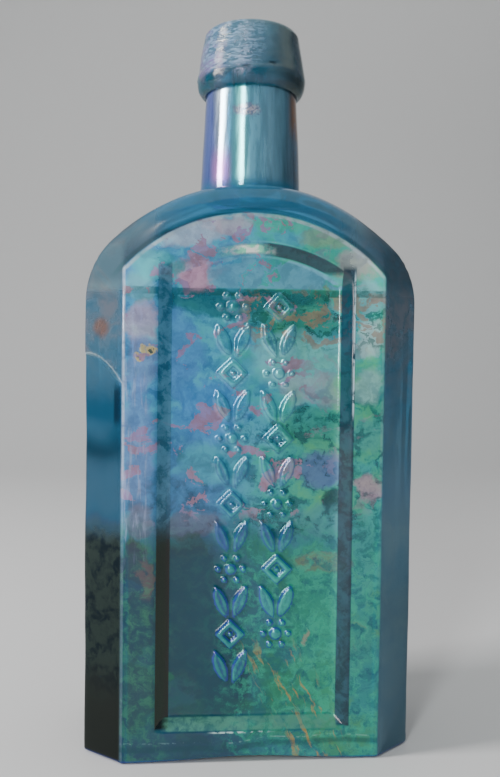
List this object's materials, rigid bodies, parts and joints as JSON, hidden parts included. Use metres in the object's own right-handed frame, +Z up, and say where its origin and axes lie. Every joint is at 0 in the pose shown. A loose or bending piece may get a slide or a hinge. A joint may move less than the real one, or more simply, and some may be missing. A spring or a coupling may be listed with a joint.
{
  "type": "medicine bottle",
  "caption": "Flat rectangular glass medicine bottle with bevelled corners, arched sunken panels, domed shoulder, short tapered neck and thick collar lip.",
  "frame": {"origin": "middle of the base, on the plane that the bottle stands on", "axes": "+Z up through the mouth, +X along the width, -Y out of the ornamented front panel"},
  "size_m": [0.1016, 0.056, 0.225],
  "materials": {
    "aqua_glass": "blown, blue-green, with a patchy iridescent burial crust",
    "lip_glass": "tooled hot, rippled, grey-blue"
  },
  "bodies": {
    "root": {"bottle_body": "aqua_glass", "applied_lip": "lip_glass"}
  },
  "joints": []
}
